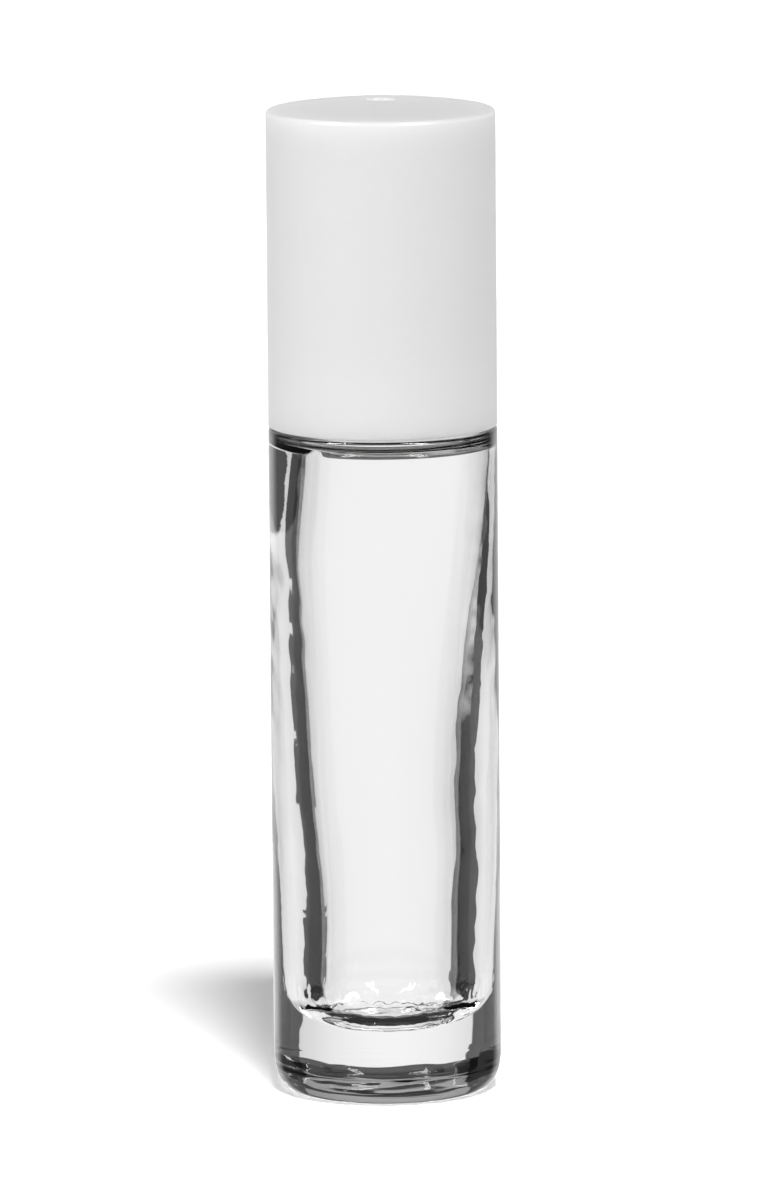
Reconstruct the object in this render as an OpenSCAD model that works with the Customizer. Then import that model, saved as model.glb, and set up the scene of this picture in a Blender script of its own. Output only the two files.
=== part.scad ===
// A glass roll-on bottle: its body, ball holder, ball, screw cap and cap seal.
// The origin is on the table under the middle of the foot, and +Z is up.

/* [Glass body] */
// Outside diameter of the glass body, and of the cap that stands flush with it
body_d = 20; // [19.6:0.1:23]
// Height of the shoulder above the table
shoulder_h = 58.65; // [48:0.05:80]
// Wall of the body where it is thinnest, under the shoulder
wall_top = 1.15; // [1:0.05:1.6]
// Wall of the body where it is thickest, just above the cavity's floor
wall_foot = 4.35; // [2:0.05:4.6]
// Glass between the cavity's floor and the table
floor_t = 5.8; // [3:0.1:9]
// Glass between the cavity's roof and the shoulder
shoulder_t = 1.1; // [1:0.1:2]
// Round of the cavity at its floor
cavity_foot_r = 2.4; // [1:0.1:3.4]
// Round of the cavity at its roof
cavity_top_r = 0.9; // [0.4:0.1:1.2]
// Round of the outside edge at the foot
heel_r = 2; // [0.8:0.1:2.4]
// Round of the outside edge at the shoulder
shoulder_r = 0.3; // [0.1:0.1:0.8]
// Rise of the hollow under the foot
push_up = 0.6; // [0.2:0.1:1.2]
// Width of the flat ring that the bottle stands on
bearing_w = 1.4; // [0.8:0.1:2]

/* [Glass neck] */
// Height of the neck from shoulder to lip
neck_h = 14; // [12:0.5:18]
// Wall of the neck beside its thread
neck_wall = 1.75; // [1.4:0.05:2]
// Round between the neck's bore and the cavity's roof
throat_r = 1.6; // [0.8:0.1:1.8]
// Round between the neck and the shoulder
neck_root_r = 0.5; // [0.2:0.1:0.8]
// Round of the lip, outside
lip_r = 0.5; // [0.2:0.1:0.6]
// Round of the lip, inside
lip_bore_r = 0.3; // [0.1:0.1:0.4]

/* [Thread] */
// Rise of the thread in one turn
pitch = 3; // [2.6:0.1:3.4]
// Height of the thread above the neck
thread_depth = 0.8; // [0.5:0.1:0.9]
// Width of a thread along the axis at its foot, inside the wall
thread_foot_w = 1.7; // [1.4:0.1:1.8]
// Width of a thread along the axis at its crest
thread_crest_w = 0.6; // [0.4:0.1:0.8]
// Height of the neck thread's lower end above the shoulder
thread_start = 4.5; // [3.2:0.1:5.5]
// Turns of thread on the neck
neck_turns = 1.5; // [1.1:0.1:1.9]
// Turns of thread in the cap
cap_turns = 1.3; // [1:0.1:1.6]
// Gap all round between the thread of one piece and the wall of the other
thread_gap = 0.2; // [0.15:0.05:0.3]

/* [Ball holder] */
// How far the flange's edge lies inside the neck's outside
flange_inset = 0.4; // [0.2:0.1:0.8]
// Width of the flange's step round the socket
flange_step = 1.2; // [0.9:0.1:1.5]
// Thickness of the flange
flange_t = 0.9; // [0.7:0.1:1.2]
// Wall of the socket round the ball
socket_wall = 1.1; // [0.8:0.1:1.4]
// Gap between the ball and its socket
ball_gap = 0.05; // [0.03:0.01:0.1]
// How far the ball reaches down below the glass lip
ball_sink = 0.25; // [0.1:0.05:0.6]
// How far the socket's edge reaches in over the ball's side
keeper_bite = 0.4; // [0.2:0.05:0.6]
// Length of the stem in the neck
stem_l = 7.5; // [6.5:0.5:9]
// Wall of the stem
stem_wall = 1.1; // [0.9:0.1:1.3]
// Gap between the stem and the neck's bore
stem_gap = 0.25; // [0.1:0.05:0.4]
// Chamfer at the lower end of the stem
stem_lead = 0.4; // [0.2:0.1:0.6]
// How far the ball's seat reaches in from the stem's bore
seat_w = 1.2; // [0.9:0.1:1.6]
// Thickness of the seat that the ball rolls on
seat_t = 1; // [0.8:0.1:1.4]
// Number of sealing ribs round the stem
rib_count = 3; // [2:1:4]
// Height of a sealing rib along the stem
rib_h = 0.8; // [0.5:0.1:1]
// Bite of the ribs into the neck's bore
rib_bite = 0.04; // [0.02:0.01:0.08]

/* [Cap] */
// Wall of the cap's side
cap_wall = 1.5; // [1.3:0.1:1.7]
// Room between the ball and the disc of the cap's seal
headroom = 2.25; // [1.2:0.05:3.5]
// Rise of the cap's top to its middle
cap_crown = 0.8; // [0.4:0.05:1.2]
// Thickness of the cap's top at its edge
cap_top_t = 1.4; // [1.1:0.1:1.8]
// Round of the cap's upper edge
cap_edge_r = 0.4; // [0.2:0.1:0.8]
// Chamfer of the cap's rim
cap_rim_c = 0.15; // [0.05:0.05:0.2]
// Gap between the cap's rim and the shoulder
cap_gap = 0.15; // [0.1:0.05:0.6]
// Diameter of the dimple that the moulding gate left in the cap's top
gate_d = 2.5; // [1.6:0.1:3]
// Depth of the gate dimple
gate_depth = 0.25; // [0.1:0.05:0.4]
// Height of the bead that holds the seal in the cap
bead_h = 0.5; // [0.3:0.1:0.7]
// How far the bead stands out of the cap's bore
bead_depth = 0.3; // [0.2:0.05:0.4]

/* [Cap seal] */
// Thickness of the seal's disc
seal_t = 1; // [0.8:0.1:1.4]
// How far the bore of the ring that closes on the ball lies inside the ball's side
ring_inset = 1.35; // [1.1:0.05:1.8]
// Wall of the ring
seal_wall = 0.9; // [0.7:0.1:1.1]
// Gap round the seal's disc in the cap
seal_side_gap = 0.05; // [0.02:0.01:0.1]
// Gap between the seal's ring and the ball
seal_ball_gap = 0.1; // [0.05:0.05:0.2]

/* [Hidden] */

// Segments of a whole turn, rings in a turn of thread, and steps of a rounded edge
$fn = 96;
thread_steps = 48;
round_steps = 8;
// Overrun of a cut, and how far a ridge or rib is sunk in the wall that it stands on
cut = 1;
sink = 0.3;
// Share of a thread's length over which it fades away at each end
fade_share = 0.12;
// Places of the lowest and the highest rib, as shares of the stem's length from its lower end
rib_low_share = 0.16;
rib_high_share = 0.82;
// How the body's wall thins upward: share of the cavity's straight height, share of the extra wall
wall_shares = [[0, 1], [0.04, 0.92], [0.18, 0.8], [0.3, 0.73], [0.4, 0.66], [0.5, 0.61],
               [0.62, 0.49], [0.72, 0.29], [0.83, 0.07], [0.91, 0.02], [1, 0]];

body_r = body_d / 2;
cavity_foot_rad = body_r - wall_foot;
cavity_top_rad = body_r - wall_top;
cavity_foot_z = floor_t + cavity_foot_r;
cavity_roof_z = shoulder_h - shoulder_t;
cavity_top_z = cavity_roof_z - cavity_top_r;

cap_bore_r = body_r - cap_wall;
neck_r = cap_bore_r - thread_gap - thread_depth;
mouth_r = neck_r - neck_wall;
lip_z = shoulder_h + neck_h;
thread_z = shoulder_h + thread_start;

flange_r = neck_r - flange_inset;
collar_r = flange_r - flange_step;
socket_r = collar_r - socket_wall;
ball_r = socket_r - ball_gap;
ball_z = lip_z + ball_r - ball_sink;
keeper_rise = sqrt(pow(socket_r, 2) - pow(ball_r - keeper_bite, 2));
stem_r = mouth_r - stem_gap;
stem_z = lip_z - stem_l;
stem_bore_r = stem_r - stem_wall;
feed_r = stem_bore_r - seat_w;
seat_z = ball_z - sqrt(pow(socket_r, 2) - pow(feed_r, 2)) - seat_t;

seal_r = cap_bore_r - seal_side_gap;
seal_z = ball_z + ball_r + headroom;
ring_r = ball_r - ring_inset;
ring_z = ball_z + sqrt(pow(ball_r + seal_ball_gap, 2) - pow(ring_r, 2));

cap_z = shoulder_h + cap_gap;
ceiling_z = seal_z + seal_t;
cap_edge_z = ceiling_z + cap_top_t;
bead_z = seal_z - seal_side_gap - bead_h;

// Points of an arc of radius r about the point c, from angle a to angle b
function arc(c, r, a, b) =
    [for (i = [0:round_steps]) let (t = a + (b - a) * i / round_steps) c + r * [cos(t), sin(t)]];

// Points of a shallow dome, from its edge at the radius and height z to its top on the axis
function dome(radius, z, rise) =
    let (r = (pow(radius, 2) + pow(rise, 2)) / (2 * rise))
    arc([0, z + rise - r], r, acos(radius / r), 90);

// A screw ridge from the wall's radius to the crest's, which fades away at both ends
module thread_ridge(wall_r, crest_r, z, turns) {
    outward = crest_r > wall_r;
    foot_r = outward ? wall_r - sink : wall_r + sink;
    count = ceil(turns * thread_steps);
    corner_count = 4;
    rings = [for (i = [1:count - 1])
        let (t = i / count, a = 360 * turns * t,
             full = min(1, t / fade_share, (1 - t) / fade_share),
             foot = thread_foot_w / 2 * full, crest = thread_crest_w / 2 * full,
             top_r = wall_r + (crest_r - wall_r) * full)
        [for (p = [[foot_r, -foot], [top_r, -crest], [top_r, crest], [foot_r, foot]])
            [p[0] * cos(a), p[0] * sin(a), z + pitch * turns * t + p[1]]]];
    last = (count - 2) * corner_count;
    sides = [for (i = [0:count - 3], k = [0:corner_count - 1])
        let (a = i * corner_count + k, b = i * corner_count + (k + 1) % corner_count)
        each [[a, b, a + corner_count], [b, b + corner_count, a + corner_count]]];
    ends = [for (k = [1:corner_count - 2]) each [[0, k + 1, k], [last, last + k, last + k + 1]]];
    faces = concat(sides, ends);
    polyhedron([for (ring = rings) each ring], outward ? faces : [for (f = faces) [f[0], f[2], f[1]]]);
}

module bottle() color([0.86, 0.9, 0.9, 0.4]) {
    wall = [for (s = wall_shares)
        [cavity_top_rad - (wall_foot - wall_top) * s[1],
         cavity_foot_z + (cavity_top_z - cavity_foot_z) * s[0]]];
    rotate_extrude() polygon(concat(
        dome(body_r - heel_r - bearing_w, 0, push_up),
        [[0, floor_t]],
        arc([cavity_foot_rad - cavity_foot_r, cavity_foot_z], cavity_foot_r, -90, 0),
        wall,
        arc([cavity_top_rad - cavity_top_r, cavity_top_z], cavity_top_r, 0, 90),
        arc([mouth_r + throat_r, cavity_roof_z + throat_r], throat_r, 270, 180),
        arc([mouth_r + lip_bore_r, lip_z - lip_bore_r], lip_bore_r, 180, 90),
        arc([neck_r - lip_r, lip_z - lip_r], lip_r, 90, 0),
        arc([neck_r + neck_root_r, shoulder_h + neck_root_r], neck_root_r, 180, 270),
        arc([body_r - shoulder_r, shoulder_h - shoulder_r], shoulder_r, 90, 0),
        arc([body_r - heel_r, heel_r], heel_r, 0, -90)));
    thread_ridge(neck_r, neck_r + thread_depth, thread_z, neck_turns);
}

module ball_housing() color("ivory") difference() {
    union() {
        rotate_extrude() polygon(concat(
            [[0, stem_z], [stem_r - stem_lead, stem_z], [stem_r, stem_z + stem_lead],
             [stem_r, lip_z], [flange_r, lip_z], [flange_r, lip_z + flange_t],
             [collar_r, lip_z + flange_t]],
            arc([0, ball_z], collar_r, 0, asin(keeper_rise / collar_r)),
            [[0, ball_z + keeper_rise]]));
        for (i = [0:rib_count - 1]) {
            share = rib_low_share + (rib_high_share - rib_low_share) * i / (rib_count - 1);
            translate([0, 0, stem_z + share * stem_l]) rotate_extrude() polygon([
                [stem_r - sink, -rib_h / 2], [stem_r, -rib_h / 2], [mouth_r + rib_bite, 0],
                [stem_r, rib_h / 2], [stem_r - sink, rib_h / 2]]);
        }
    }
    translate([0, 0, ball_z]) sphere(r = socket_r);
    translate([0, 0, stem_z - cut]) cylinder(r = feed_r, h = ball_z - stem_z + cut);
    translate([0, 0, stem_z - cut]) cylinder(r = stem_bore_r, h = seat_z - stem_z + cut);
}

module roller_ball() color("silver") translate([0, 0, ball_z]) sphere(r = ball_r);

module cap_seal() color("white") rotate_extrude() polygon([
    [0, seal_z], [ring_r, seal_z], [ring_r, ring_z], [ring_r + seal_wall / 2, ring_z],
    [ring_r + seal_wall, ring_z + seal_wall / 2], [ring_r + seal_wall, seal_z],
    [seal_r, seal_z], [seal_r, ceiling_z], [0, ceiling_z]]);

module cap() color("whitesmoke") difference() {
    union() {
        rotate_extrude() polygon(concat(
            [[cap_bore_r + cap_rim_c, cap_z], [body_r - cap_rim_c, cap_z],
             [body_r, cap_z + cap_rim_c]],
            arc([body_r - cap_edge_r, cap_edge_z - cap_edge_r], cap_edge_r, 0, 90),
            dome(body_r - cap_edge_r, cap_edge_z, cap_crown),
            [[0, ceiling_z], [cap_bore_r, ceiling_z], [cap_bore_r, cap_z + cap_rim_c]]));
        translate([0, 0, bead_z]) rotate_extrude() polygon([
            [cap_bore_r + sink, 0], [cap_bore_r, 0], [cap_bore_r - bead_depth, bead_h / 2],
            [cap_bore_r, bead_h], [cap_bore_r + sink, bead_h]]);
        thread_ridge(cap_bore_r, neck_r + thread_gap, thread_z - pitch / 2, cap_turns);
    }
    translate([0, 0, cap_edge_z + cap_crown - gate_depth]) cylinder(d = gate_d, h = cut);
}

bottle();
ball_housing();
roller_ball();
cap_seal();
cap();
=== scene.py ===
"""A closed glass roll-on bottle on a white studio floor.

Sizes of the bottle's pieces are in millimetres, and those of the studio in metres.
"""
import math

import bmesh
import bpy
from mathutils import Matrix, Quaternion, Vector, noise


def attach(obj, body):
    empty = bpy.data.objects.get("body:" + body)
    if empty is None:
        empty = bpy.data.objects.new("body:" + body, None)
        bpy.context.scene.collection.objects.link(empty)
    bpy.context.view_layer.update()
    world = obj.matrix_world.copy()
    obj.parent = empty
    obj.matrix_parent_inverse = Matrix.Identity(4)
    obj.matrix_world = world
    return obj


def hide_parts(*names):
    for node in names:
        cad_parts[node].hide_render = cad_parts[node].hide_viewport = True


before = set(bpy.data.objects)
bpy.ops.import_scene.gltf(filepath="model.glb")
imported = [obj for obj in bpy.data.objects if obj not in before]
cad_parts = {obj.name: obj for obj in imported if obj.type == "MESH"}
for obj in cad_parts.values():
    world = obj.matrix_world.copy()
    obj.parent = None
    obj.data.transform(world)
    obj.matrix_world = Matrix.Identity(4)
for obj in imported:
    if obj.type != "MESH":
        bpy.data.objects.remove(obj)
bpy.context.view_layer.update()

MM = 0.001
FULL_TURN = 2 * math.pi
# How close in millimetres a point has to be to a place to belong to it, and to another to be one
NEAR = 0.05
SAME_POINT = 0.0005

# Sizes of the glass body. Outside they are the CAD model's, but for the heel, which is higher than
# round; inside they are those of a blown cavity.
BODY_R = 10.0
SHOULDER_Z = 58.65
CAVITY_FLOOR_Z = 5.8
CAVITY_FOOT_ROUND = 4.0
CAVITY_FOOT_HIGH = 3.0
CAVITY_TOP_ROUND = 0.2
CAVITY_ROOF_Z = 57.7
CAVITY_IN_R = 9.2
HEEL_ROUND = 2.0
HEEL_HIGH = 3.0
SHOULDER_ROUND = 0.3
BEARING_IN_R = 6.6
BEARING_OUT_R = 8.0
STIPPLES = 72
STIPPLE_H = 0.1
SEAM_Z = 2.6
SEAM_H = 0.04
SEAM_W = 0.6
PUSH_UP = 0.6
NECK_R = 7.5
NECK_ROOT_ROUND = 0.5
MOUTH_R = 5.75
THROAT_W = 1.35
THROAT_H = 2.1
THROAT_STRAIGHT = 1.2
THROAT_STEP = 0.05
THROAT_LEAD = 0.3
LIP_Z = 72.65
LIP_ROUND = 0.5
LIP_BORE_ROUND = 0.3

# The screw thread
PITCH = 3.0
THREAD_DEPTH = 0.8
THREAD_CREST_W = 0.6
THREAD_FOOT_W = 1.45
NECK_THREAD_Z = 63.15
NECK_TURNS = 1.5
CAP_THREAD_Z = 61.65
CAP_TURNS = 1.3
FADE_SHARE = 0.12

# The ball and its holder
BALL_R = 4.75
BALL_Z = 77.15
SOCKET_R = 4.8
COLLAR_R = 5.9
FLANGE_R = 7.1
FLANGE_T = 0.9
KEEPER_Z = 79.18
STEM_R = 5.5
STEM_Z = 65.15
STEM_BORE_R = 4.4
STEM_LEAD = 0.4
FEED_R = 3.2
SEAT_UNDER_Z = 72.57
RIB_HEIGHTS = (66.35, 68.825, 71.3)
RIB_H = 0.8
RIB_OUT_R = 5.75
RIB_CENTRE_IN = 0.195
FLANGE_UNDER_ROUND = 0.15
FLANGE_TOP_ROUND = 0.25
RIB_HALF_ANGLE = 50
COLLAR_FOOT_W = 0.2
COLLAR_FOOT_ANGLE = -35

# The cap and its seal
CAP_BORE_R = 8.5
CAP_RIM_Z = 58.8
CAP_RIM_CHAMFER = 0.15
CAP_EDGE_Z = 86.55
CAP_EDGE_ROUND = 0.4
CAP_CROWN = 0.8
CEILING_Z = 85.15
GATE_R = 1.25
GATE_DEPTH = 0.25
GATE_FOOT_ROUND = 0.15
GATE_LIP_ROUND = 0.08
GATE_LIP_DROP = 0.01
GATE_FADE_R = 1.375
NIB_R, NIB_H = 0.35, 0.03
NIB_FOOT_R, NIB_TOP_H = 0.5, 0.04
CAP_THREAD_BELOW = 0.4
CAP_THREAD_ABOVE = 1.2
SEAL_Z = 84.15
SEAL_R = 8.45
SEAL_ROUND = 0.15
RING_R = 3.4
RING_Z = 80.61
RING_WALL = 0.9
RING_ROOT_ROUND = 0.2
RING_IN_ROUND = 0.15
RING_OUT_ROUND = 0.45
BEAD_Z = 83.6
BEAD_H = 0.5
BEAD_IN_R = 8.2
BEAD_ROUND = 0.255

# The blown cavity: height, how far it reaches to the left, to the right, and to the front and back
# of the axis
CAVITY = (
    (8.2, 5.95, 6.15, 6.15, 6.15),
    (9.7, 6.02, 6.28, 6.30, 6.30),
    (13.2, 6.10, 6.35, 6.45, 6.45),
    (16.7, 6.17, 6.48, 6.60, 6.60),
    (20.3, 6.34, 6.66, 6.75, 6.75),
    (22.1, 6.45, 6.70, 6.80, 6.80),
    (25.6, 6.74, 6.66, 6.95, 6.95),
    (29.1, 6.92, 6.80, 7.07, 7.03),
    (32.7, 7.10, 6.98, 7.24, 7.18),
    (36.2, 7.30, 7.28, 7.46, 7.38),
    (39.8, 7.52, 7.60, 7.72, 7.62),
    (43.3, 7.75, 7.98, 7.98, 7.86),
    (45.1, 7.86, 8.18, 8.12, 7.98),
    (46.9, 7.98, 8.37, 8.26, 8.10),
    (48.6, 8.02, 8.55, 8.38, 8.21),
    (50.4, 8.01, 8.72, 8.51, 8.33),
    (52.2, 7.99, 8.88, 8.63, 8.45),
    (53.9, 7.975, 9.01, 8.74, 8.56),
    (55.2, 7.965, 9.10, 8.82, 8.64),
    (57.6, 7.955, 9.24, 8.95, 8.78),
)

# Unevenness of the glass: its depth in millimetres, how fine it is round the axis and along it, and
# where its pattern starts
BROAD_WAVE = (0.04, 1.3, 0.11, 0)
SIDE_WAVE = (0.02, 3, 0.5, 9)
FINE_SIDE_WAVE = (0.006, 8, 1.6, 0)
FOOT_GRAIN = (0.06, 14, 2.5, 0)
RIM_GRAIN = (0.07, 11, 2.2, 0)
HEEL_WAVE = (0.05, 2.2, 0.5, 3)
HEEL_STREAKS = (0.025, 3.5, 4, 0)
DENT_LUMPS = (0.8, 8, 1.2, 5)
# The cavity's left side is calmer from this height, over this span, by this share
CALM_Z, CALM_SPAN, CALM_SHARE = 45, 3, 0.85
# The cavity's foot is grained and rippled below this height, fully at this much lower
GRAIN_Z, GRAIN_SPAN = 8.8, 3
FLOOR_RIPPLE, FLOOR_RIPPLE_FINE, FLOOR_RIPPLE_START = 0.05, 1.1, 2
# Heights between which the rim of its foot is grained
RIM_LOW, RIM_HIGH = 7.2, 10.4
# Slanting waves low on the cavity's left side: heights, depth, and how fast along and round it
SLANT_LOW, SLANT_HIGH, SLANT_DEPTH, SLANT_ALONG, SLANT_AROUND = 8, 24, 0.02, 5.5, 9
# The heel outside: how far in and how high it is uneven
HEEL_IN, HEEL_UNEVEN_HIGH = 0.05, 4
# The dent at its back right: depth, height, from which angle to which in radians, and its mean share
DENT_DEPTH, DENT_HIGH, DENT_START, DENT_END, DENT_MEAN = 0.45, 5.4, 0.6, 1.5, 0.6


# Shapes

def arc(r, z, radius, start, end, steps=10):
    """Points of an arc about (r, z), from the angle start to the angle end, in degrees."""
    angles = [math.radians(start + (end - start) * i / steps) for i in range(steps + 1)]
    return [(r + radius * math.cos(a), z + radius * math.sin(a)) for a in angles]


def straight(start, end, steps):
    """Points between two ends, which it leaves out."""
    shares = [i / steps for i in range(1, steps)]
    return [(start[0] + (end[0] - start[0]) * s, start[1] + (end[1] - start[1]) * s) for s in shares]


def dome(radius, z, rise, steps):
    """Points of a shallow dome, from its edge to its top on the axis."""
    sphere_r = (radius**2 + rise**2) / (2 * rise)
    edge = math.degrees(math.acos(radius / sphere_r))
    return arc(0, z + rise - sphere_r, sphere_r, edge, 90, steps)


def cavity_at(z):
    """How far the blown cavity reaches to its left, right, front and back, on a smooth curve."""
    z = min(max(z, CAVITY[0][0]), CAVITY[-1][0])
    i = next(i for i in range(1, len(CAVITY)) if z <= CAVITY[i][0])
    low, high = CAVITY[i - 1], CAVITY[i]
    before, after = CAVITY[max(i - 2, 0)], CAVITY[min(i + 1, len(CAVITY) - 1)]
    span = high[0] - low[0]
    t = (z - low[0]) / span
    values = []
    for k in (1, 2, 3, 4):
        leave = (high[k] - before[k]) / (high[0] - before[0]) * span
        arrive = (after[k] - low[k]) / (after[0] - low[0]) * span
        values.append(
            low[k] * (2 * t**3 - 3 * t**2 + 1) + leave * (t**3 - 2 * t**2 + t)
            + high[k] * (3 * t**2 - 2 * t**3) + arrive * (t**3 - t**2)
        )
    return values


def cavity_mean(z):
    """The blown cavity's mean reach at a height."""
    left, right, _, _ = cavity_at(z)
    return (left + right) / 2


def turned(outline, segments, ring=False):
    """A shape spun round the z axis from its outline of (radius, height) in millimetres."""
    bm = bmesh.new()
    verts = [bm.verts.new((r, 0, z)) for r, z in outline]
    ends = verts[1:] + (verts[:1] if ring else [])
    edges = [bm.edges.new(pair) for pair in zip(verts, ends)]
    bmesh.ops.spin(  # an eighth of a turn, which three doublings close, as a whole spin is slow
        bm, geom=verts + edges, cent=(0, 0, 0), axis=(0, 0, 1), dvec=(0, 0, 0),
        angle=FULL_TURN / 8, steps=segments // 8,
    )
    for share in (8, 4, 2):
        copied = bmesh.ops.duplicate(bm, geom=bm.verts[:] + bm.edges[:] + bm.faces[:])["geom"]
        bmesh.ops.rotate(
            bm, cent=(0, 0, 0), matrix=Matrix.Rotation(FULL_TURN / share, 3, "Z"),
            verts=[e for e in copied if isinstance(e, bmesh.types.BMVert)],
        )
    bmesh.ops.remove_doubles(bm, verts=bm.verts, dist=SAME_POINT)
    bmesh.ops.recalc_face_normals(bm, faces=bm.faces)
    return bm


def thread_height(angle, z, start_z, turns):
    """How high a screw thread stands at an angle and height, from 0 on the wall to 1 at its crest."""
    height = 0.0
    for turn in range(math.ceil(turns)):
        along = angle / FULL_TURN + turn
        if along > turns:
            continue
        share = along / turns
        full = min(1.0, share / FADE_SHARE, (1 - share) / FADE_SHARE)
        away = abs(z - start_z - PITCH * along)
        crest, foot = THREAD_CREST_W / 2 * full, THREAD_FOOT_W / 2 * full
        if away < foot:
            slope = 1.0 if away <= crest else (foot - away) / (foot - crest)
            height = max(height, full * (3 * slope**2 - 2 * slope**3))
    return height


def bump_between(value, low, high):
    """0 at and outside two values, rising smoothly to 1 in the middle between them."""
    share = (value - low) / (high - low)
    return math.sin(math.pi * share) ** 2 if 0 < share < 1 else 0.0


def finish_piece(name, bm, material, body, node):
    """Turns a shape in millimetres into a smooth piece that stands for a CAD node."""
    bmesh.ops.scale(bm, vec=(MM, MM, MM), verts=bm.verts)
    mesh = bpy.data.meshes.new(name)
    bm.to_mesh(mesh)
    bm.free()
    mesh.shade_smooth()
    mesh.materials.append(material)
    piece = bpy.data.objects.new(name, mesh)
    bpy.context.scene.collection.objects.link(piece)
    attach(piece, body)
    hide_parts(node)
    return piece


# Materials

# How many ripples, grains or marks of a surface stand on a millimetre. Moulded and polished skins
# are finer than shows at the photograph's scale, so theirs are drawn as coarse as they need to show.
GLASS_RIPPLES = 0.9
CAP_GRAINS = 1.5
HOLDER_GRAINS = 1.2
LAPPING_MARKS = 4.0
SEAL_GRAINS = 1.0
# How deep in millimetres a skin is at full strength
SKIN_DEPTH = 0.1


def linear(colour):
    """Linear red, green, blue and alpha of an sRGB hex colour."""
    parts = [int(colour[i:i + 2], 16) / 255 for i in (1, 3, 5)]
    return [p / 12.92 if p <= 0.04045 else ((p + 0.055) / 1.055) ** 2.4 for p in parts] + [1.0]


def add_node(tree, kind, inputs=None, **settings):
    """Adds one node, with its settings, and its inputs set to values or linked to other nodes."""
    node = tree.nodes.new(kind)
    for key, value in settings.items():
        setattr(node, key, value)
    for key, value in (inputs or {}).items():
        if isinstance(value, bpy.types.NodeSocket):
            tree.links.new(value, node.inputs[key])
        else:
            node.inputs[key].default_value = value
    return node


def new_material(name):
    """An empty node material and its tree."""
    material = bpy.data.materials.new(name)
    material.use_nodes = True
    material.node_tree.nodes.clear()
    return material, material.node_tree


def flint_glass():
    """Clear flint glass, blown: it bends light strongly, and its skin is very slightly uneven.

    The ripples are about a millimetre wide, as blown glass has them, and hardly deep enough to see.
    """
    material, tree = new_material("flint_glass")
    place = add_node(tree, "ShaderNodeTexCoord").outputs["Object"]
    ripple = add_node(tree, "ShaderNodeTexNoise", {
        "Vector": place, "Scale": GLASS_RIPPLES / MM, "Detail": 2.0})
    bump = add_node(tree, "ShaderNodeBump", {
        "Height": ripple.outputs["Fac"], "Strength": 0.02, "Distance": SKIN_DEPTH * MM})
    glass = add_node(tree, "ShaderNodeBsdfPrincipled", {
        "Base Color": linear("#FEFEFE"), "Roughness": 0.0, "IOR": 1.5,
        "Transmission Weight": 1.0, "Normal": bump.outputs["Normal"]})
    add_node(tree, "ShaderNodeOutputMaterial", {"Surface": glass.outputs["BSDF"]})
    return material


def cap_polypropylene():
    """Injection-moulded polypropylene: white, smooth, with a soft satin gloss and milky depth.

    The gate mark in the middle of the top is painted a little whiter than the rest of the cap.
    """
    material, tree = new_material("white_polypropylene")
    place = add_node(tree, "ShaderNodeTexCoord").outputs["Object"]
    grain = add_node(tree, "ShaderNodeTexNoise", {
        "Vector": place, "Scale": CAP_GRAINS / MM, "Detail": 3.0})
    rough = add_node(tree, "ShaderNodeMapRange", {
        "Value": grain.outputs["Fac"], "To Min": 0.28, "To Max": 0.36})
    bump = add_node(tree, "ShaderNodeBump", {
        "Height": grain.outputs["Fac"], "Strength": 0.04, "Distance": SKIN_DEPTH * MM})
    from_axis = add_node(tree, "ShaderNodeVectorMath", {0: place, 1: (1, 1, 0)},
                         operation="MULTIPLY")
    radius = add_node(tree, "ShaderNodeVectorMath", {0: from_axis.outputs["Vector"]},
                      operation="LENGTH")
    # A disc over the gate mark is painted whiter than the rest of the cap
    gate = add_node(tree, "ShaderNodeMapRange", {
        "Value": radius.outputs["Value"], "From Min": GATE_R * MM, "From Max": GATE_FADE_R * MM,
        "To Min": 1.0, "To Max": 0.0})
    colour = add_node(tree, "ShaderNodeMix", {
        0: gate.outputs["Result"], 6: linear("#EDEDED"), 7: linear("#FFFFFF")}, data_type="RGBA")
    plastic = add_node(tree, "ShaderNodeBsdfPrincipled", {
        "Base Color": colour.outputs[2], "Roughness": rough.outputs["Result"], "IOR": 1.49,
        "Subsurface Weight": 1.0, "Subsurface Radius": (1.0, 1.0, 0.95), "Subsurface Scale": 2.5 * MM,
        "Normal": bump.outputs["Normal"]})
    add_node(tree, "ShaderNodeOutputMaterial", {"Surface": plastic.outputs["BSDF"]})
    return material


def holder_polyethylene():
    """Natural low-density polyethylene, moulded: milky, waxy and a little see-through when thin."""
    material, tree = new_material("natural_polyethylene")
    place = add_node(tree, "ShaderNodeTexCoord").outputs["Object"]
    grain = add_node(tree, "ShaderNodeTexNoise", {
        "Vector": place, "Scale": HOLDER_GRAINS / MM, "Detail": 3.0})
    bump = add_node(tree, "ShaderNodeBump", {
        "Height": grain.outputs["Fac"], "Strength": 0.05, "Distance": SKIN_DEPTH * MM})
    plastic = add_node(tree, "ShaderNodeBsdfPrincipled", {
        "Base Color": linear("#E9EAE6"), "Roughness": 0.42, "IOR": 1.51,
        "Subsurface Weight": 0.25, "Subsurface Radius": (1.0, 0.95, 0.85),
        "Subsurface Scale": 1.2 * MM, "Normal": bump.outputs["Normal"]})
    add_node(tree, "ShaderNodeOutputMaterial", {"Surface": plastic.outputs["BSDF"]})
    return material


def ball_steel():
    """Stainless bearing steel, ground and polished: a mirror with very fine lapping marks."""
    material, tree = new_material("polished_stainless_steel")
    place = add_node(tree, "ShaderNodeTexCoord").outputs["Object"]
    lap = add_node(tree, "ShaderNodeTexNoise", {
        "Vector": place, "Scale": LAPPING_MARKS / MM, "Detail": 2.0})
    rough = add_node(tree, "ShaderNodeMapRange", {
        "Value": lap.outputs["Fac"], "To Min": 0.05, "To Max": 0.11})
    metal = add_node(tree, "ShaderNodeBsdfPrincipled", {
        "Base Color": linear("#C9C8C5"), "Metallic": 1.0, "Roughness": rough.outputs["Result"]})
    add_node(tree, "ShaderNodeOutputMaterial", {"Surface": metal.outputs["BSDF"]})
    return material


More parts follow.
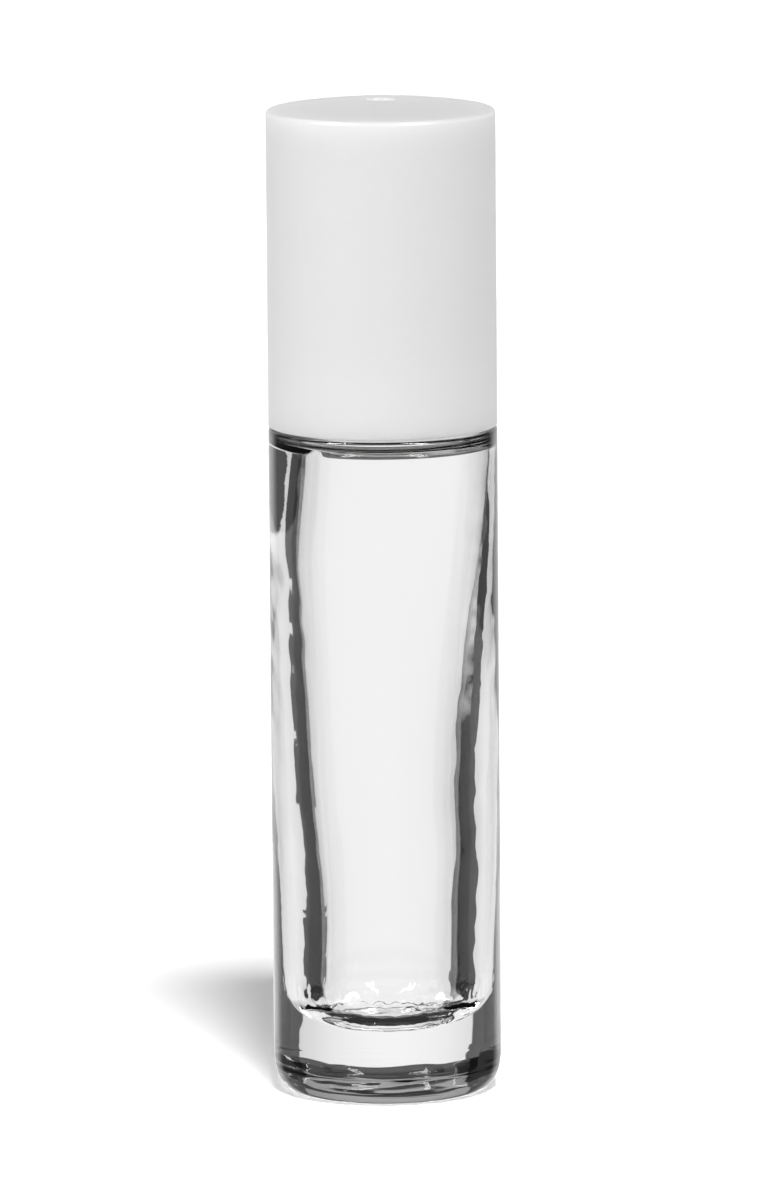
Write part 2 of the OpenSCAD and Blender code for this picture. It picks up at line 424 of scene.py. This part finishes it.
def seal_polyethylene():
    """Soft white polyethylene, moulded: matt and slightly waxy."""
    material, tree = new_material("soft_polyethylene")
    place = add_node(tree, "ShaderNodeTexCoord").outputs["Object"]
    grain = add_node(tree, "ShaderNodeTexNoise", {
        "Vector": place, "Scale": SEAL_GRAINS / MM, "Detail": 3.0})
    bump = add_node(tree, "ShaderNodeBump", {
        "Height": grain.outputs["Fac"], "Strength": 0.08, "Distance": SKIN_DEPTH * MM})
    plastic = add_node(tree, "ShaderNodeBsdfPrincipled", {
        "Base Color": linear("#ECECEA"), "Roughness": 0.5, "IOR": 1.51,
        "Subsurface Weight": 0.15, "Subsurface Radius": (1.0, 1.0, 0.95),
        "Subsurface Scale": 1.0 * MM, "Normal": bump.outputs["Normal"]})
    add_node(tree, "ShaderNodeOutputMaterial", {"Surface": plastic.outputs["BSDF"]})
    return material


# The glass bottle

def bottle_outline():
    """The glass from the middle of its foot, up outside, over the lip, and down inside."""
    neck_low, neck_high = SHOULDER_Z + NECK_ROOT_ROUND, LIP_Z - LIP_ROUND
    top_z, foot_z = CAVITY_ROOF_Z - CAVITY_TOP_ROUND, CAVITY_FLOOR_Z + CAVITY_FOOT_HIGH
    wall = [(cavity_mean(z), z) for _, z in [(0, top_z)] + straight((0, top_z), (0, foot_z), 96)]
    top_r, foot_r = cavity_mean(top_z), cavity_mean(foot_z)
    throat_top = (MOUTH_R + THROAT_STEP, CAVITY_ROOF_Z + THROAT_H)
    throat_side = (MOUTH_R + THROAT_W, CAVITY_ROOF_Z + THROAT_STRAIGHT)
    throat_foot = (MOUTH_R + THROAT_W, CAVITY_ROOF_Z)
    corner = arc(0, 0, 1, 0, -90, 16)
    heel = arc(0, 0, 1, -90, 0, 24)
    return (
        dome(BEARING_IN_R, 0, PUSH_UP, 12)[::-1]
        + straight((BEARING_IN_R, 0), (BEARING_OUT_R, 0), 6)
        + [(BODY_R - HEEL_ROUND * (1 - c), HEEL_HIGH * (1 + s)) for c, s in heel]
        + straight((BODY_R, HEEL_HIGH), (BODY_R, SHOULDER_Z - SHOULDER_ROUND), 28)
        + arc(BODY_R - SHOULDER_ROUND, SHOULDER_Z - SHOULDER_ROUND, SHOULDER_ROUND, 0, 90, 12)
        + arc(NECK_R + NECK_ROOT_ROUND, neck_low, NECK_ROOT_ROUND, 270, 180, 6)
        + straight((NECK_R, neck_low), (NECK_R, neck_high), 70)
        + arc(NECK_R - LIP_ROUND, neck_high, LIP_ROUND, 0, 90, 6)
        + arc(MOUTH_R + LIP_BORE_ROUND, LIP_Z - LIP_BORE_ROUND, LIP_BORE_ROUND, 90, 180, 6)
        + [(MOUTH_R, throat_top[1] + THROAT_LEAD), throat_top]
        + straight(throat_top, throat_side, 6)
        + straight(throat_side, throat_foot, 4)
        + [throat_foot]
        + arc(top_r - CAVITY_TOP_ROUND, top_z, CAVITY_TOP_ROUND, 90, 0, 6)[:-1]
        + wall
        + [(foot_r - CAVITY_FOOT_ROUND * (1 - c), foot_z + CAVITY_FOOT_HIGH * s) for c, s in corner]
        + straight((foot_r - CAVITY_FOOT_ROUND, CAVITY_FLOOR_Z), (0, CAVITY_FLOOR_Z), 10)
        + [(0, CAVITY_FLOOR_Z)]
    )


def uneven(out, z, depth, around, along, shift):
    """Smooth ups and downs of the glass, by the direction out from the axis and the height."""
    return depth * noise.noise(Vector((out.x * around, out.y * around, z * along + shift)))


def cavity_wave(out, angle, z):
    """How far the blown cavity's wall stands off its mean reach, and that mean."""
    left, right, front, back = cavity_at(z)
    mean = (left + right) / 2
    oval = 1 / math.hypot(out.x / (left if out.x < 0 else right),
                          out.y / (front if out.y < 0 else back))
    at_side = out.x**2
    if out.x < 0:
        at_side *= 1 - CALM_SHARE * min(1.0, max(0.0, (z - CALM_Z) / CALM_SPAN))
    at_left = max(0.0, -out.x) ** 2
    wave = oval - mean
    wave += uneven(out, z, *BROAD_WAVE)
    wave += at_side * (uneven(out, z, *SIDE_WAVE) + uneven(out, z, *FINE_SIDE_WAVE))
    wave += uneven(out, z, *FOOT_GRAIN) * near_floor(z)
    wave += uneven(out, z, *RIM_GRAIN) * bump_between(z, RIM_LOW, RIM_HIGH)
    slant = math.sin(SLANT_ALONG * z + SLANT_AROUND * angle)
    wave += SLANT_DEPTH * at_left * slant * bump_between(z, SLANT_LOW, SLANT_HIGH)
    return wave, mean


def near_floor(z):
    """From 0 at the height where the cavity's foot starts to be rough, up to 1 at its floor."""
    return max(0.0, (GRAIN_Z - z) / GRAIN_SPAN)


def shape_bottle(bm):
    """Gives the spun glass its blown, wavy cavity, its thread, its stippled foot and uneven heel."""
    for v in bm.verts:
        r, z = math.hypot(v.co.x, v.co.y), v.co.z
        angle = math.atan2(v.co.y, v.co.x) % FULL_TURN
        out = Vector((math.cos(angle), math.sin(angle), 0))
        if CAVITY_FLOOR_Z - NEAR < z < CAVITY_ROOF_Z + NEAR and r < CAVITY_IN_R:
            wave, mean = cavity_wave(out, angle, z)
            hold = min(1.0, (CAVITY_ROOF_Z - z) / CAVITY_TOP_ROUND)
            v.co += out * wave * hold * min(1.0, r / mean) ** 2
            place = (v.co.x * FLOOR_RIPPLE_FINE, v.co.y * FLOOR_RIPPLE_FINE, FLOOR_RIPPLE_START)
            v.co.z += FLOOR_RIPPLE * noise.noise(Vector(place)) * near_floor(z)
        elif r > NECK_R - NEAR and SHOULDER_Z + NECK_ROOT_ROUND < z < LIP_Z - LIP_ROUND:
            v.co += out * THREAD_DEPTH * thread_height(angle, z, NECK_THREAD_Z, NECK_TURNS)
        elif z < NEAR and BEARING_IN_R + NEAR < r < BEARING_OUT_R + NEAR:
            v.co.z += STIPPLE_H * (0.5 + 0.5 * math.cos(angle * STIPPLES))
        elif r > BEARING_OUT_R and z < DENT_HIGH:
            inwards = HEEL_IN + uneven(out, z, *HEEL_WAVE) + uneven(out, z, *HEEL_STREAKS)
            v.co -= out * inwards * bump_between(z, 0, HEEL_UNEVEN_HIGH)
            v.co -= out * SEAM_H * bump_between(z, SEAM_Z - SEAM_W / 2, SEAM_Z + SEAM_W / 2)
            lumps = DENT_MEAN + uneven(out, z, *DENT_LUMPS)
            at_dent = bump_between(angle, DENT_START, DENT_END) * bump_between(z, 0, DENT_HIGH)
            v.co -= out * DENT_DEPTH * lumps * at_dent


bottle_bm = turned(bottle_outline(), 288)
shape_bottle(bottle_bm)
finish_piece("glass_bottle", bottle_bm, flint_glass(), "bottle", "bottle")


# The ball holder, the ball, the seal and the cap

def holder_outline():
    """The ball holder as a closed ring, from the foot of its stem, up outside and down inside."""
    keeper_angle = math.degrees(math.asin((KEEPER_Z - BALL_Z) / COLLAR_R))
    socket_top = math.degrees(math.asin((KEEPER_Z - BALL_Z) / SOCKET_R))
    socket_low = -math.degrees(math.acos(FEED_R / SOCKET_R))
    under, over = FLANGE_UNDER_ROUND, FLANGE_TOP_ROUND
    centre_r = STEM_R - RIB_CENTRE_IN
    ribs = []
    for height in RIB_HEIGHTS:
        ribs += [(STEM_R, height - RIB_H / 2)]
        ribs += arc(centre_r, height, RIB_OUT_R - centre_r, -RIB_HALF_ANGLE, RIB_HALF_ANGLE, 6)
        ribs += [(STEM_R, height + RIB_H / 2)]
    return (
        [(STEM_BORE_R, STEM_Z), (STEM_R - STEM_LEAD, STEM_Z), (STEM_R, STEM_Z + STEM_LEAD)]
        + ribs
        + [(STEM_R, LIP_Z)]
        + arc(FLANGE_R - under, LIP_Z + under, under, -90, 0, 4)
        + arc(FLANGE_R - over, LIP_Z + FLANGE_T - over, over, 0, 90, 5)
        + [(COLLAR_R + COLLAR_FOOT_W, LIP_Z + FLANGE_T)]
        + arc(0, BALL_Z, COLLAR_R, COLLAR_FOOT_ANGLE, keeper_angle, 24)[1:]
        + arc(0, BALL_Z, SOCKET_R, socket_top, socket_low, 28)
        + [(FEED_R, SEAT_UNDER_Z), (STEM_BORE_R, SEAT_UNDER_Z)]
    )


def seal_outline():
    """The seal from the middle of its underside, round its ring and disc, to the middle of its top."""
    ring_out = RING_R + RING_WALL
    root, inner, outer = RING_ROOT_ROUND, RING_IN_ROUND, RING_OUT_ROUND
    edge = SEAL_R - SEAL_ROUND
    return (
        [(0, SEAL_Z)]
        + straight((0, SEAL_Z), (RING_R - root, SEAL_Z), 6)
        + arc(RING_R - root, SEAL_Z - root, root, 90, 0, 4)
        + arc(RING_R + inner, RING_Z + inner, inner, 180, 270, 3)
        + arc(ring_out - outer, RING_Z + outer, outer, -90, 0, 5)
        + arc(ring_out + root, SEAL_Z - root, root, 180, 90, 4)
        + arc(edge, SEAL_Z + SEAL_ROUND, SEAL_ROUND, -90, 0, 4)
        + arc(edge, CEILING_Z - SEAL_ROUND, SEAL_ROUND, 0, 90, 4)
        + [(0, CEILING_Z)]
    )


def cap_outline():
    """The cap from the middle of its top, with its gate dimple, down outside and up inside."""
    edge_r, edge, rim = BODY_R - CAP_EDGE_ROUND, CAP_EDGE_ROUND, CAP_RIM_CHAMFER
    top = dome(edge_r, CAP_EDGE_Z, CAP_CROWN, 40)[::-1]
    top_z = CAP_EDGE_Z + CAP_CROWN
    gate_z, foot, lip = top_z - GATE_DEPTH, GATE_FOOT_ROUND, GATE_LIP_ROUND
    gate = [(0, gate_z + NIB_TOP_H), (NIB_R, gate_z + NIB_H), (NIB_FOOT_R, gate_z)]
    gate += arc(GATE_R - foot, gate_z + foot, foot, -90, 0, 4)
    gate += arc(GATE_R + lip, top_z - lip - GATE_LIP_DROP, lip, 180, 95, 4)
    skin = [p for p in top if p[0] > GATE_R + 1.5 * lip]
    thread_low = CAP_RIM_Z + CAP_THREAD_BELOW
    thread_high = CAP_THREAD_Z + PITCH * CAP_TURNS + CAP_THREAD_ABOVE
    return (
        gate
        + skin
        + arc(edge_r, CAP_EDGE_Z - edge, edge, 86, 0, 8)
        + straight((BODY_R, CAP_EDGE_Z - edge), (BODY_R, CAP_RIM_Z + rim), 16)
        + arc(BODY_R - rim, CAP_RIM_Z + rim, rim, 0, -90, 4)
        + arc(CAP_BORE_R + rim, CAP_RIM_Z + rim, rim, -90, -180, 4)
        + [(CAP_BORE_R, thread_low)]
        + straight((CAP_BORE_R, thread_low), (CAP_BORE_R, thread_high), 60)
        + [(CAP_BORE_R, thread_high), (CAP_BORE_R, BEAD_Z)]
        + arc(BEAD_IN_R + BEAD_ROUND, BEAD_Z + BEAD_H / 2, BEAD_ROUND, 260, 100, 8)
        + [(CAP_BORE_R, BEAD_Z + BEAD_H), (CAP_BORE_R, CEILING_Z), (0, CEILING_Z)]
    )


def shape_cap(bm):
    """Raises the screw thread on the inside of the spun cap."""
    for v in bm.verts:
        r, z = math.hypot(v.co.x, v.co.y), v.co.z
        if abs(r - CAP_BORE_R) < NEAR and CAP_RIM_Z + CAP_THREAD_BELOW - NEAR < z < BEAD_Z - NEAR:
            angle = math.atan2(v.co.y, v.co.x) % FULL_TURN
            height = THREAD_DEPTH * thread_height(angle, z, CAP_THREAD_Z, CAP_TURNS)
            v.co.x -= height * math.cos(angle)
            v.co.y -= height * math.sin(angle)


finish_piece("moulded_ball_holder", turned(holder_outline(), 192, ring=True),
             holder_polyethylene(), "bottle", "ball_housing")

ball_bm = turned(arc(0, BALL_Z, BALL_R, -90, 90, 96), 128)
finish_piece("steel_roller_ball", ball_bm, ball_steel(), "ball", "roller_ball")

finish_piece("cap_seal_insert", turned(seal_outline(), 192),
             seal_polyethylene(), "seal", "cap_seal")

cap_bm = turned(cap_outline(), 256)
shape_cap(cap_bm)
finish_piece("screw_cap", cap_bm, cap_polypropylene(), "cap", "cap")


# Camera, floor, backdrop, lamps and room

CAMERA_DISTANCE = 1.1
CAMERA_ELEVATION = math.radians(9.06)
CAMERA_ROLL = math.radians(-0.45)
CAMERA_LENS, CAMERA_SENSOR = 251.6, 24
LAMP_DISTANCE = 1.0
AIM = Vector((-0.02, 0, 43.3)) * MM
FLOOR_HALF_W = 4
# What the floor throws back of the light, and what it shows to the camera
FLOOR_GREY, FLOOR_SEEN = (0.8, 0.8, 0.8, 1), (1.5, 1.5, 1.5, 1)
# The backdrop: how far it stands behind the point the camera aims at, and its edges from there
BACKDROP_BEHIND = 0.295
BACKDROP_TOP, BACKDROP_FOOT = 0.2, -0.3
BACKDROP_HALF_W = 0.3
BACKDROP_HALF_H = (BACKDROP_TOP - BACKDROP_FOOT) / 2
# Its brightness within its left and right edges and beyond them, and how soft the edges are
POOL_LIGHT, BEYOND_LIGHT, EDGE_SOFTNESS = 0.97, 0.09, 0.02
# How bright the backdrop is from left to right, where 0.5 is straight behind the bottle
ACROSS_LEVELS = ((0.01, 0.66), (0.25, 0.88), (0.38, 0.95), (0.5, 1.0), (0.62, 0.93), (0.75, 0.78),
                 (0.99, 0.6))
# How bright it is from its foot up: the table, the dark behind its far edge, and the wall
UP_LEVELS = ((0.001, 1.0), (0.614, 1.0), (0.617, 0.09), (0.655, 0.09), (0.675, 0.025),
             (0.735, 0.025), (0.75, 0.4), (0.94, 0.4), (0.999, 0.03))
# How far to each side the light reaches, as a share of the backdrop, from its foot to its top
LEFT_EDGE = ((0.0, 0.85), (0.44, 0.85), (0.46, 0.7), (0.53, 0.7), (0.55, 0.66), (0.61, 0.66),
             (0.63, 0.75), (1.0, 0.8))
RIGHT_EDGE = ((0.0, 0.5), (0.3, 0.6), (0.42, 0.6), (0.45, 0.5), (0.46, 0.5), (0.5, 0.74),
              (1.0, 0.8))
# The room's light, from the part of a direction that it follows, where it changes, and its level
# before and after. For matt pieces the room is bright low down and dim overhead, so upright surfaces
# get as much light as level ones. What mirrors sees it dim, but for the bright table straight behind.
# Through the glass, past the backdrop, it is white overhead, and to the sides, to the front and low
# down, but not steeply down.
ROOM_LIGHT = {
    "matt": ("Z", 0.1, 0.52, 0.9, 0.15, "SMOOTHSTEP"),
    "mirrored": ("Y", 0.7, 0.85, 0.1, 0.95, "LINEAR"),
    "overhead": ("Z", 0.55, 0.65, 0.03, 0.8, "LINEAR"),
    "beside": ("Y", 0.1, 0.18, 0.85, 0.03, "LINEAR"),
    "low down": ("Z", -0.4, -0.34, 0.85, 0.03, "LINEAR"),
    "not steep": ("Z", -0.64, -0.58, 0.03, 0.85, "LINEAR"),
}

camera = bpy.data.objects.new("Camera", bpy.data.cameras.new("Camera"))
bpy.context.scene.collection.objects.link(camera)
bpy.context.scene.camera = camera
camera.data.sensor_fit = "VERTICAL"
camera.data.sensor_height = CAMERA_SENSOR
camera.data.lens = CAMERA_LENS
to_camera = Vector((0, -math.cos(CAMERA_ELEVATION), math.sin(CAMERA_ELEVATION)))
camera.location = AIM + to_camera * CAMERA_DISTANCE
camera.rotation_mode = "QUATERNION"
camera.rotation_quaternion = (
    (-to_camera).to_track_quat("-Z", "Y") @ Quaternion((0, 0, 1), CAMERA_ROLL))


def stage_plane(name, half_x, half_y, material):
    """A flat sheet of the studio, which isn't part of the object."""
    bm = bmesh.new()
    bmesh.ops.create_grid(bm, x_segments=1, y_segments=1, size=1)
    bmesh.ops.scale(bm, vec=(half_x, half_y, 1), verts=bm.verts)
    mesh = bpy.data.meshes.new(name)
    bm.to_mesh(mesh)
    bm.free()
    mesh.materials.append(material)
    plane = bpy.data.objects.new(name, mesh)
    bpy.context.scene.collection.objects.link(plane)
    return plane


def floor_paint():
    """Matt white studio paint, which the camera sees as pure white outside the shadow."""
    material, tree = new_material("white_studio_floor")
    light = add_node(tree, "ShaderNodeLightPath")
    colour = add_node(tree, "ShaderNodeMix", {
        0: light.outputs["Is Camera Ray"], 6: FLOOR_GREY, 7: FLOOR_SEEN}, data_type="RGBA")
    paint = add_node(tree, "ShaderNodeBsdfDiffuse", {"Color": colour.outputs[2]})
    add_node(tree, "ShaderNodeOutputMaterial", {"Surface": paint.outputs["BSDF"]})
    return material


def set_levels(ramp, levels, interpolation):
    """Gives a colour ramp its grey levels along a value from 0 to 1."""
    ramp.interpolation = interpolation
    for position, level in levels:
        ramp.elements.new(position).color = (level, level, level, 1)
    ramp.elements.remove(ramp.elements[0])
    ramp.elements.remove(ramp.elements[-1])


def set_points(mapping, points):
    """Makes a curve follow a line through points."""
    curve = mapping.curves[0]
    curve.points[0].location, curve.points[1].location = points[0], points[-1]
    for point in points[1:-1]:
        curve.points.new(*point)
    for point in curve.points:
        point.handle_type = "VECTOR"
    mapping.update()


def backdrop_light():
    """What stands behind the bottle: a bright white table, its dark far edge and a dim wall above.

    Its bright part ends to the left and right, and the dark beyond makes the bottle's dark bands.
    """
    material, tree = new_material("bright_backdrop")
    place = add_node(tree, "ShaderNodeTexCoord").outputs["Object"]
    axes = add_node(tree, "ShaderNodeSeparateXYZ", {"Vector": place})
    across = add_node(tree, "ShaderNodeMapRange", {
        "Value": axes.outputs["X"], "From Min": -BACKDROP_HALF_W, "From Max": BACKDROP_HALF_W})
    up = add_node(tree, "ShaderNodeMapRange", {
        "Value": axes.outputs["Y"], "From Min": -BACKDROP_HALF_H, "From Max": BACKDROP_HALF_H})
    across_level = add_node(tree, "ShaderNodeValToRGB", {"Fac": across.outputs["Result"]})
    set_levels(across_level.color_ramp, ACROSS_LEVELS, "B_SPLINE")
    up_level = add_node(tree, "ShaderNodeValToRGB", {"Fac": up.outputs["Result"]})
    set_levels(up_level.color_ramp, UP_LEVELS, "LINEAR")
    level = add_node(tree, "ShaderNodeMix", {
        0: 1.0, 6: across_level.outputs["Color"], 7: up_level.outputs["Color"]},
        data_type="RGBA", blend_type="MULTIPLY")
    left = add_node(tree, "ShaderNodeFloatCurve", {"Value": up.outputs["Result"]})
    set_points(left.mapping, LEFT_EDGE)
    right = add_node(tree, "ShaderNodeFloatCurve", {"Value": up.outputs["Result"]})
    set_points(right.mapping, RIGHT_EDGE)
    side = add_node(tree, "ShaderNodeMath", {0: axes.outputs["X"], 1: 0.0},
                    operation="GREATER_THAN")
    edge = add_node(tree, "ShaderNodeMix", {
        0: side.outputs[0], 2: left.outputs[0], 3: right.outputs[0]})
    away = add_node(tree, "ShaderNodeMath", {0: axes.outputs["X"]}, operation="ABSOLUTE")
    reach = add_node(tree, "ShaderNodeMath", {0: away.outputs[0], 1: edge.outputs[0]},
                     operation="DIVIDE")
    pool = add_node(tree, "ShaderNodeMapRange", {
        "Value": reach.outputs[0], "From Min": (1 - EDGE_SOFTNESS) * BACKDROP_HALF_W,
        "From Max": (1 + EDGE_SOFTNESS) * BACKDROP_HALF_W,
        "To Min": POOL_LIGHT, "To Max": BEYOND_LIGHT})
    glow = add_node(tree, "ShaderNodeEmission", {
        "Color": level.outputs[2], "Strength": pool.outputs["Result"]})
    add_node(tree, "ShaderNodeOutputMaterial", {"Surface": glow.outputs["Emission"]})
    return material


floor = stage_plane("Floor", FLOOR_HALF_W, FLOOR_HALF_W, floor_paint())
floor.visible_transmission = False
floor.visible_glossy = False

backdrop = stage_plane("Backdrop", BACKDROP_HALF_W, BACKDROP_HALF_H, backdrop_light())
# It stands still behind the bottle, square to the photograph's line of sight
backdrop.rotation_mode = "QUATERNION"
backdrop.rotation_quaternion = camera.rotation_quaternion
backdrop.location = camera.location + camera.rotation_quaternion @ Vector((
    0, (BACKDROP_TOP + BACKDROP_FOOT) / 2, -(CAMERA_DISTANCE + BACKDROP_BEHIND)))
backdrop.visible_camera = False
backdrop.visible_diffuse = False
backdrop.visible_glossy = False
backdrop.visible_shadow = False


def towards_lamp(azimuth, elevation):
    """The direction of a lamp, in degrees to the right of the photograph's side and up."""
    a, e = math.radians(azimuth), math.radians(elevation)
    return Vector((math.sin(a) * math.cos(e), -math.cos(a) * math.cos(e), math.sin(e)))


def add_lamp(name, kind, direction):
    """A lamp that shines from a direction on the bottle."""
    lamp = bpy.data.objects.new(name, bpy.data.lights.new(name, kind))
    lamp.location = AIM + direction * LAMP_DISTANCE
    lamp.rotation_mode = "QUATERNION"
    lamp.rotation_quaternion = direction.to_track_quat("Z", "Y")
    bpy.context.scene.collection.objects.link(lamp)
    return lamp


def sun(name, azimuth, elevation, strength, softness):
    """A soft lamp far away, which doesn't show in the gloss."""
    lamp = add_lamp(name, "SUN", towards_lamp(azimuth, elevation))
    lamp.data.energy = strength
    lamp.data.angle = math.radians(softness)
    lamp.visible_glossy = False
    lamp.visible_transmission = False
    return lamp


def softbox(name, azimuth, elevation, width, height, power):
    """A lit window of a softbox, which shows only in gloss and through the glass."""
    lamp = add_lamp(name, "AREA", towards_lamp(azimuth, elevation))
    lamp.data.shape = "RECTANGLE"
    lamp.data.size, lamp.data.size_y = width, height
    lamp.data.energy = power
    lamp.visible_diffuse = False
    return lamp


sun("Key", azimuth=12, elevation=59, strength=2.06, softness=12)
sun("Fill", azimuth=-60, elevation=8, strength=1.0, softness=50)
softbox("Left softbox", azimuth=-58, elevation=42, width=0.2, height=0.9, power=12.0)
softbox("Right softbox", azimuth=42, elevation=42, width=0.2, height=0.9, power=12.0)


def unless_matt(tree, light_path, flag):
    """A light path flag that is off for the light that a matt surface gets."""
    return add_node(tree, "ShaderNodeMath", {
        0: light_path.outputs[flag], 1: light_path.outputs["Diffuse Depth"]},
        operation="SUBTRACT", use_clamp=True).outputs[0]


def studio_room():
    """The room around the table, with its own levels for matt, mirroring and see-through pieces."""
    world = bpy.data.worlds.new("Studio")
    world.use_nodes = True
    tree = world.node_tree
    tree.nodes.clear()
    light_path = add_node(tree, "ShaderNodeLightPath")
    direction = add_node(tree, "ShaderNodeTexCoord").outputs["Generated"]
    towards = add_node(tree, "ShaderNodeSeparateXYZ", {"Vector": direction})
    light = {}
    for name, (part, start, end, before, after, interpolation) in ROOM_LIGHT.items():
        light[name] = add_node(tree, "ShaderNodeMapRange", {
            "Value": towards.outputs[part], "From Min": start, "From Max": end,
            "To Min": before, "To Max": after}, interpolation_type=interpolation).outputs["Result"]
    low_or_beside = add_node(tree, "ShaderNodeMath", {
        0: light["beside"], 1: light["low down"]}, operation="MAXIMUM")
    around = add_node(tree, "ShaderNodeMath", {
        0: low_or_beside.outputs[0], 1: light["not steep"]}, operation="MINIMUM")
    past_glass = add_node(tree, "ShaderNodeMath", {
        0: around.outputs[0], 1: light["overhead"]}, operation="MAXIMUM")
    # Matt pieces get the room's light, also through the glass
    mirrored = add_node(tree, "ShaderNodeMix", {
        0: unless_matt(tree, light_path, "Is Singular Ray"),
        2: light["matt"], 3: light["mirrored"]})
    through = add_node(tree, "ShaderNodeMix", {
        0: unless_matt(tree, light_path, "Is Transmission Ray"),
        2: mirrored.outputs[0], 3: past_glass.outputs[0]})
    seen = add_node(tree, "ShaderNodeMix", {
        0: light_path.outputs["Is Camera Ray"], 2: through.outputs[0], 3: 1.0})
    sky = add_node(tree, "ShaderNodeBackground", {
        "Color": (1, 1, 1, 1), "Strength": seen.outputs[0]})
    add_node(tree, "ShaderNodeOutputWorld", {"Surface": sky.outputs["Background"]})
    return world


bpy.context.scene.world = studio_room()
bpy.context.scene.view_settings.view_transform = "Standard"
